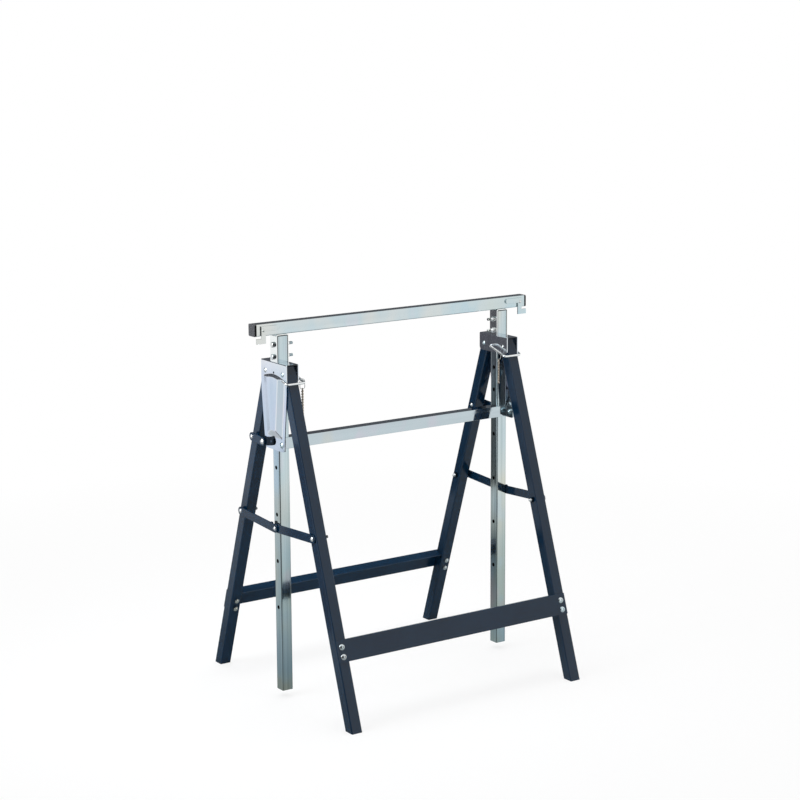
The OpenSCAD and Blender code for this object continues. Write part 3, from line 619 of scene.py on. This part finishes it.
def add_bracket(side):
    node = side + "_head_bracket"
    work = bracket_sheet()
    bmesh.ops.transform(work, matrix=end_frame(side), verts=work.verts)
    bmesh.ops.recalc_face_normals(work, faces=work.faces)
    outwards = -1.0 if side == "left" else 1.0
    on_long_flange = next(f for f in work.faces if f.calc_center_median().z < SHORT_FOOT * MM)
    if on_long_flange.normal.x * outwards < 0:
        bmesh.ops.reverse_faces(work, faces=work.faces)
    mesh = bpy.data.meshes.new(node)
    work.to_mesh(mesh)
    work.free()
    mesh = thick_and_drilled(mesh, (POST_X * outwards, 0.0, PIN_Z))
    mesh.name = node + "_formed"
    smooth(mesh, SHEET_SHARP)
    place(mesh, node)


# Turned pieces: bolts with threads and nuts

def turned(rows, loop):
    """Form of rows about the x axis; a row is (x, radius), each a number or a function of the angle."""
    sides = 36
    work = bmesh.new()
    rings = []
    for x, r in rows:
        ring = []
        for i in range(sides):
            angle = 2 * math.pi * i / sides
            radius = (r(angle) if callable(r) else r) * MM
            along = (x(angle) if callable(x) else x) * MM
            ring.append(work.verts.new((along, radius * math.cos(angle), radius * math.sin(angle))))
            if r == 0.0:
                break
        rings.append(ring)
    pairs = list(zip(rings, rings[1:])) + ([(rings[-1], rings[0])] if loop else [])
    for a, b in pairs:
        for i in range(sides):
            j = (i + 1) % sides
            corners = [a[i % len(a)], a[j % len(a)], b[j % len(b)], b[i % len(b)]]
            kept = [v for k, v in enumerate(corners) if v not in corners[:k]]
            work.faces.new(kept)
    bmesh.ops.recalc_face_normals(work, faces=work.faces)
    return work


def hexagon(across):
    def radius(angle):
        return across / 2 / math.cos((angle + math.pi / 6) % (math.pi / 3) - math.pi / 6)
    return radius


def chamfered(towards):
    """Rows of the hexagon of a nut or bolt head, from its outer face to its seat at 0."""
    flat = ACROSS / 2 * HEX_FLAT
    outline = hexagon(ACROSS)

    def shoulder(angle):
        return towards * (NUT_HEIGHT - HEX_SLOPE * (outline(angle) - flat))
    return [(towards * NUT_HEIGHT, flat), (shoulder, outline), (0.0, outline)]


def thread(start, end):
    """Rows of a thread from start to a chamfered end, closed by a flat face."""
    radius = THREAD / 2
    step = PITCH / 2
    count = int((end - start) / step)
    rows = [(start + step * i, radius if i % 2 == 0 else radius - PITCH / 2) for i in range(count)]
    return rows + [(end - step, radius), (end, radius - THREAD_CHAMFER), (end, 0.0)]


def hex_bolt(shank, tail):
    return [(-NUT_HEIGHT, 0.0)] + chamfered(-1) + [(0.0, THREAD / 2)] + thread(shank, tail)


def dome_rows(size, height, hole):
    """Rows of a dome from its top, or from the edge of a hole in it, out to its rim at 0."""
    sphere = (size * size / 4 + height * height) / (2 * height)
    start = math.asin(hole / sphere)
    stop = math.asin(size / 2 / sphere)
    rows = []
    for i in range(DOME_STEPS + 1):
        angle = start + (stop - start) * i / DOME_STEPS
        rows.append((-(sphere * math.cos(angle) - sphere + height), sphere * math.sin(angle)))
    return rows


def socket_bolt(shank, tail):
    """Domed head with a hexagon socket, on a plain shank that ends in a thread."""
    wall = hexagon(SOCKET_SIZE)
    floor = SOCKET_DEPTH - DOME_HEIGHT
    dome = dome_rows(DOME_SIZE, DOME_HEIGHT, SOCKET_RIM)
    socket = [(floor, 0.0), (floor, wall), (dome[0][0] + SOCKET_EDGE, wall)]
    under_head = [(0.0, DOME_SIZE / 2 - DOME_RIM), (0.0, THREAD / 2)]
    return socket + dome + under_head + thread(shank, tail)


def leg_bolt(seat):
    """Domed bolt through a link and a leg, with a collar between them.

    The seat is the distance of the head's seat from the leg's middle."""
    r, start = THREAD / 2, LEG_COLLAR_START
    leg_start, leg_end = seat - HALF_TUBE, seat + HALF_TUBE
    collar = [(start, r), (start, LEG_COLLAR), (leg_start, LEG_COLLAR), (leg_start, r)]
    end = thread(leg_end + PITCH / 2, leg_end + LEG_BOLT_END)
    return dome_rows(LEG_HEAD_SIZE, LEG_HEAD, 0.0) + [(0.0, r)] + collar + end


def nut():
    r = THREAD / 2 + NUT_ROOM
    bore = [(0.0, r), (NUT_HEIGHT - NUT_CHAMFER, r)]
    return [(NUT_HEIGHT, r + NUT_CHAMFER)] + chamfered(1) + bore


# How far the points of a lock nut's crown lie below its top and inside its collar
CROWN = ((0.0, 1.2), (0.4, 0.5), (1.4, 0.0))


def lock_nut():
    """Nut with a round collar over its hexagon."""
    r, collar = THREAD / 2 + NUT_ROOM, ACROSS / 2 * COLLAR_SHARE
    top = NUT_HEIGHT + COLLAR_HEIGHT
    crown = [(top, r + NUT_CHAMFER)] + [(top - below, collar - inside) for below, inside in CROWN]
    bore = [(0.0, r), (top - NUT_CHAMFER, r)]
    return crown + [(NUT_HEIGHT, collar)] + chamfered(1)[1:] + bore


def gather(whole, rows, places, loop=False):
    """Adds equal turned parts at the given places, with mirrored ones turned the right way out."""
    for matrix in places:
        one = turned(rows, loop)
        bmesh.ops.transform(one, matrix=matrix, verts=one.verts)
        if matrix.determinant() < 0:
            bmesh.ops.reverse_faces(one, faces=one.faces)
        part = bpy.data.meshes.new("part")
        one.to_mesh(part)
        whole.from_mesh(part)
        bpy.data.meshes.remove(part)
        one.free()


def several(node, *groups):
    """One piece of turned parts; a group is a part's rows, its places, and True if it has a bore."""
    whole = bmesh.new()
    for group in groups:
        gather(whole, *group)
    return finished(whole, node, TURNED_SHARP)


def shifted(places, distance):
    return [matrix @ at(distance, 0, 0) for matrix in places]


def add_leg_bolts(node):
    """Bolts of the brace links on the legs, with dark nuts and thread ends on the legs' inner sides."""
    low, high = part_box(node)
    seat = -low[0] / MM - POST_X - LEG_HEAD
    y, z = [(low[i] + high[i]) / 2 / MM for i in (1, 2)]
    spots = [end_frame(side) @ at(-seat, y, z) for side in SIDES]
    mesh = several(node, (leg_bolt(seat), spots), (nut(), shifted(spots, seat + HALF_TUBE), True)).data
    mesh.materials.append(MATERIALS["dark_navy"])
    for face in mesh.polygons:
        off_axis = math.hypot(face.center.y - y * MM, face.center.z - z * MM)
        between_legs = abs(face.center.x) < (POST_X - HALF_TUBE) * MM
        if between_legs and off_axis > (THREAD / 2 + NUT_ROOM / 2) * MM:
            face.material_index = 1


def add_fasteners():
    straps = [end_frame(side) @ at(-STRAP_OUT, 0, z) for side in SIDES for z in STRAP_BOLT_ROWS]
    across = 2 * STRAP_OUT
    several("strap_bolts", (hex_bolt(across - PITCH, across + STRAP_BOLT_TAIL), straps))
    several("strap_nuts", (lock_nut(), shifted(straps, across), True))
    crossbar = [end_frame(side) @ at(-FLANGE_OUT, CROSSBAR_BOLT_Y, CROSSBAR_Z) for side in SIDES]
    several("crossbar_bolts", (socket_bolt(CROSSBAR_SHANK, CROSSBAR_TAIL), crossbar))
    several("crossbar_nuts", (nut(), shifted(crossbar, CROSSBAR_NUT), True))
    for row, name in ((-1, "front"), (1, "rear")):
        outwards = Matrix.Rotation(math.radians(-90.0 * row), 4, "Z")
        legs = [end_frame(side) @ leg_frame(row) @ at(0, 0, z) @ outwards
                for side in SIDES for z in STRETCHER_BOLT_ROWS]
        spots = shifted(legs, -HALF_TUBE - STRETCHER_SHEET)
        several(name + "_stretcher_bolts", (socket_bolt(STRETCHER_SHANK, STRETCHER_TAIL), spots))
        several(name + "_stretcher_nuts", (nut(), shifted(spots, STRETCHER_NUT), True))
        add_leg_bolts(name + "_brace_rivets")


# Chains

def swept(work, path, radius):
    """Round wire along a closed path of points in metres."""
    sides = 8
    count = len(path)
    middle = sum(path, Vector()) / count
    rings = []
    for i, point in enumerate(path):
        run = (path[(i + 1) % count] - path[i - 1]).normalized()
        side = (point - middle) - (point - middle).dot(run) * run
        side.normalize()
        up = run.cross(side)
        rings.append([work.verts.new(point + radius * (math.cos(a) * side + math.sin(a) * up))
                      for a in (2 * math.pi * k / sides for k in range(sides))])
    for i in range(count):
        for k in range(sides):
            a, b = rings[i], rings[(i + 1) % count]
            work.faces.new((a[k], b[k], b[(k + 1) % sides], a[(k + 1) % sides]))


ARC_STEPS, SIDE_STEPS = 8, 3


def twisted_link(top):
    """Points of an oblong link that hangs from the top of its opening, with a quarter twist."""
    r = (LINK_WIDTH + LINK_WIRE) / 2
    upper, lower = LINK_WIRE / 2 - r, r - LINK_INNER - LINK_WIRE / 2
    angles = [math.pi * i / ARC_STEPS for i in range(ARC_STEPS + 1)]
    arc = [(r * math.cos(a), r * math.sin(a)) for a in angles]
    outline = [(x, upper + z) for x, z in arc]
    outline += [(-r, z) for z in steps(upper, lower, SIDE_STEPS)[1:]]
    outline += [(-x, lower - z) for x, z in arc]
    outline += [(r, z) for z in steps(lower, upper, SIDE_STEPS)[1:]]
    points = []
    for x, z in outline:
        angle = math.pi / 2 * (1 + z / LINK_INNER)
        points.append(top + Vector((x * math.cos(angle), x * math.sin(angle), z)) * MM)
    return points


def add_chain(side):
    """Curb chain of twisted links, where the solid chain hangs."""
    node = side + "_pin_chain"
    low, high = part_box(node)
    work = bmesh.new()
    for i in range(LINK_COUNT):
        drop = LINK_WIRE + i * (LINK_INNER - LINK_LAP)
        top = Vector(((low[0] + high[0]) / 2, (low[1] + high[1]) / 2, high[2] - drop * MM))
        swept(work, twisted_link(top), LINK_WIRE / 2 * MM)
    bmesh.ops.recalc_face_normals(work, faces=work.faces)
    finished(work, node, CHAIN_SHARP)


# Pieces formed from their own solids, with the radius of their softened edges in millimetres

EDGE_AT_ENDS = {"post_strap": 0.3, "end_stop": 0.4, "end_cap": 0.8, "front_brace": 0.5, "rear_brace": 0.5,
                "stay_leg_link": 0.5, "stay_head_link": 0.5}
ROUND_AT_ENDS = ("lock_pin", "brace_rivet_head", "brace_rivet_tail", "stay_bolt", "stay_bolt_tail")
RIVETS = ("stop_rivets", "leg_pivot_rivets", "stay_leg_rivets", "stay_head_rivets")


def add_formed():
    for side in SIDES:
        add_bracket(side)
        for part, edge in EDGE_AT_ENDS.items():
            formed("%s_%s" % (side, part), edge)
        add_chain(side)
        for part in ROUND_AT_ENDS:
            formed("%s_%s" % (side, part))
        formed(side + "_pin_ring", inset=RING_INSET)
    formed("crossbar", CROSSBAR_EDGE, [(crossbar_folds, CROSSBAR_FOLD)])
    for row in ("front", "rear"):
        formed(row + "_stretcher", STRETCHER_EDGE, [(stretcher_folds, STRETCHER_FOLD)])
    for rivets in RIVETS:
        formed(rivets)


# Stage: floor, backdrop, flags and lamps

def seen_by(tree):
    """1 for camera, glossy and transmission rays."""
    path = tree.nodes.new("ShaderNodeLightPath")
    seen = path.outputs["Is Camera Ray"]
    for name in ("Is Glossy Ray", "Is Transmission Ray"):
        node = tree.nodes.new("ShaderNodeMath")
        node.operation = "MAXIMUM"
        tree.links.new(seen, node.inputs[0])
        tree.links.new(path.outputs[name], node.inputs[1])
        seen = node.outputs[0]
    return seen


def sheet(name, corners, material):
    mesh = bpy.data.meshes.new(name)
    mesh.from_pydata(corners, [], [(0, 1, 2, 3)])
    mesh.materials.append(material)
    thing = bpy.data.objects.new(name, mesh)
    scene.collection.objects.link(thing)
    return thing


def level_square(half, level):
    return [(-half, -half, level), (half, -half, level), (half, half, level), (-half, half, level)]


def floor_material():
    """White floor that takes the shadow round the object and runs out into a plain white backdrop."""
    s = Shader("floor_white")
    s.put(Base_Color=(0.92, 0.92, 0.92), Roughness=0.9, Specular_IOR_Level=0.1)
    far = s.spread(s.from_origin(), 0.7, 2.0, 0.82, 1.0)
    glow = s.new("ShaderNodeEmission")
    blend = s.new("ShaderNodeMixShader")
    s.feed(blend.inputs[0], s.math("MULTIPLY", far, seen_by(s.tree)))
    s.feed(blend.inputs[1], s.principled.outputs[0])
    s.feed(blend.inputs[2], glow.outputs[0])
    s.feed(s.surface, blend.outputs[0])
    return s.material


def add_floor():
    sheet("floor", level_square(30.0, -0.0005), floor_material())


def add_world():
    """Plain white surroundings that light the object softly and are seen at full white."""
    world = bpy.data.worlds.new("studio")
    scene.world = world
    world.use_nodes = True
    tree = world.node_tree
    strength = tree.nodes.new("ShaderNodeMapRange")
    strength.inputs["To Min"].default_value = 0.18
    strength.inputs["To Max"].default_value = 1.0
    tree.links.new(seen_by(tree), strength.inputs["Value"])
    background = tree.nodes["Background"]
    tree.links.new(strength.outputs["Result"], background.inputs["Strength"])
    background.inputs["Color"].default_value = (*WHITE, 1.0)


def only_reflected(flag):
    flag.visible_camera = flag.visible_diffuse = False
    flag.visible_shadow = flag.visible_transmission = False


def cloudy(s, colour):
    lighter = tuple(1.3 * c for c in colour)
    return s.ramp(s.noise(s.place, 0.6), [(0.3, colour), (0.7, lighter)])


def add_flag(name, corners, tone):
    """Studio flag that only reflections show; its tone is a colour or a function of its shader."""
    s = Shader(name)
    s.glow(tone(s) if callable(tone) else cloudy(s, tone))
    only_reflected(sheet(name, corners, s.material))


def floor_tone(s):
    """Tone of the card on the floor round the feet: dark at the rear left, running out to white."""
    across = s.new("ShaderNodeVectorMath", operation="DOT_PRODUCT")
    s.feed(across.inputs[0], s.place)
    across.inputs[1].default_value = (0.6, -0.8, 0.0)
    tone = s.ramp(s.spread(across.outputs["Value"], -0.8, 0.8, 0.0, 1.0),
                  [(0.1, (0.12, 0.15, 0.17)), (0.5, (0.30, 0.34, 0.36)), (0.9, (0.60, 0.64, 0.65))])
    x = s.axes()[0]
    tone = s.mix(s.spread(x, -0.25, -0.55, 0.0, 1.0), tone, (0.48, 0.52, 0.54))
    far = s.spread(s.from_origin(), 0.8, 1.9, 0.0, 1.0)
    return s.mix(s.math("MULTIPLY", far, s.spread(x, -0.25, -0.55, 1.0, 0.4)), tone, WHITE)


def add_lamp(name, spot, target, size, power, colour=WHITE, beam=180.0):
    data = bpy.data.lights.new(name, "AREA")
    data.shape = "RECTANGLE"
    data.size = data.size_y = size
    data.energy = power
    data.color = colour
    data.spread = math.radians(beam)
    lamp = bpy.data.objects.new(name, data)
    scene.collection.objects.link(lamp)
    lamp.location = spot
    lamp.rotation_euler = (Vector(target) - Vector(spot)).to_track_quat("-Z", "Y").to_euler()
    return lamp


def facing_front(y, *corners):
    """Corners of an upright flag across the view, from their x and z."""
    return [(x, y, z) for x, z in corners]


def over_line(start, end, low, high):
    """Corners of an upright flag over a line on the floor."""
    return [(*start, low), (*end, low), (*end, high), (*start, high)]


# Each flag's corners in metres and its tone
DARK, DIM, DUSK = (0.09, 0.095, 0.105), (0.075, 0.085, 0.09), (0.08, 0.08, 0.09)
BLACK, GREY, SILVER = (0.055, 0.055, 0.06), (0.2, 0.2, 0.22), (0.57, 0.63, 0.67)
PALE, PALE_LEFT = (0.62, 0.68, 0.77), (0.6, 0.67, 0.77)
FLAGS = {
    "flag_behind": (facing_front(7.0, (-8.0, 0.5), (14.0, 0.5), (14.0, 7.5), (-8.0, 7.5)), DARK),
    "flag_behind_high": (facing_front(7.0, (3.0, 7.5), (14.0, 7.5), (14.0, 14.0), (3.0, 14.0)), DARK),
    "flag_rear_low": (facing_front(0.8, (-0.46, 0.13), (-0.08, 0.13), (-0.14, 0.51), (-0.37, 0.51)), DIM),
    "flag_rear_high": (facing_front(0.8, (-0.4, 0.51), (-0.14, 0.51), (-0.2, 0.75), (-0.44, 0.75)), DIM),
    "flag_right_head": (facing_front(0.35, (-0.14, 0.56), (0.08, 0.56), (0.08, 0.72), (-0.14, 0.72)), DUSK),
    "flag_left_leg": (facing_front(0.3, (-0.78, 0.0), (-0.5, 0.0), (-0.5, 0.46), (-0.58, 0.46)), GREY),
    "flag_rear_far": (facing_front(1.6, (-1.1, 0.05), (-0.42, 0.05), (-0.42, 0.6), (-1.1, 0.4)), PALE),
    "flag_left_far": (over_line((-1.1, 1.15), (-1.1, 1.6), 0.05, 0.4), PALE_LEFT),
    "flag_front_left": (over_line((-0.8, -0.4), (-0.27, -0.84), 0.0, 1.2), BLACK),
    "flag_floor": (level_square(1.6, 0.0002), floor_tone),
    "flag_left": (over_line((-1.1, 0.38), (-1.1, 0.75), 0.2, 0.75), SILVER),
}

add_camera()
for node in NODES:
    clothe(node)
add_formed()
add_fasteners()
add_floor()
add_world()
for name, (corners, tone) in FLAGS.items():
    add_flag(name, corners, tone)
add_lamp("key", (-1.3, 0.1, 1.25), (-0.29, 0, 0.6), 0.9, 5.0, (0.86, 0.93, 1.0), 100.0)
add_lamp("front", (0.8, -3.6, 2.4), (0, 0, 0.4), 2.0, 4.0)
add_lamp("top", (0.2, 0.3, 3.2), (0, 0, 0.0), 2.5, 92.0).visible_glossy = False
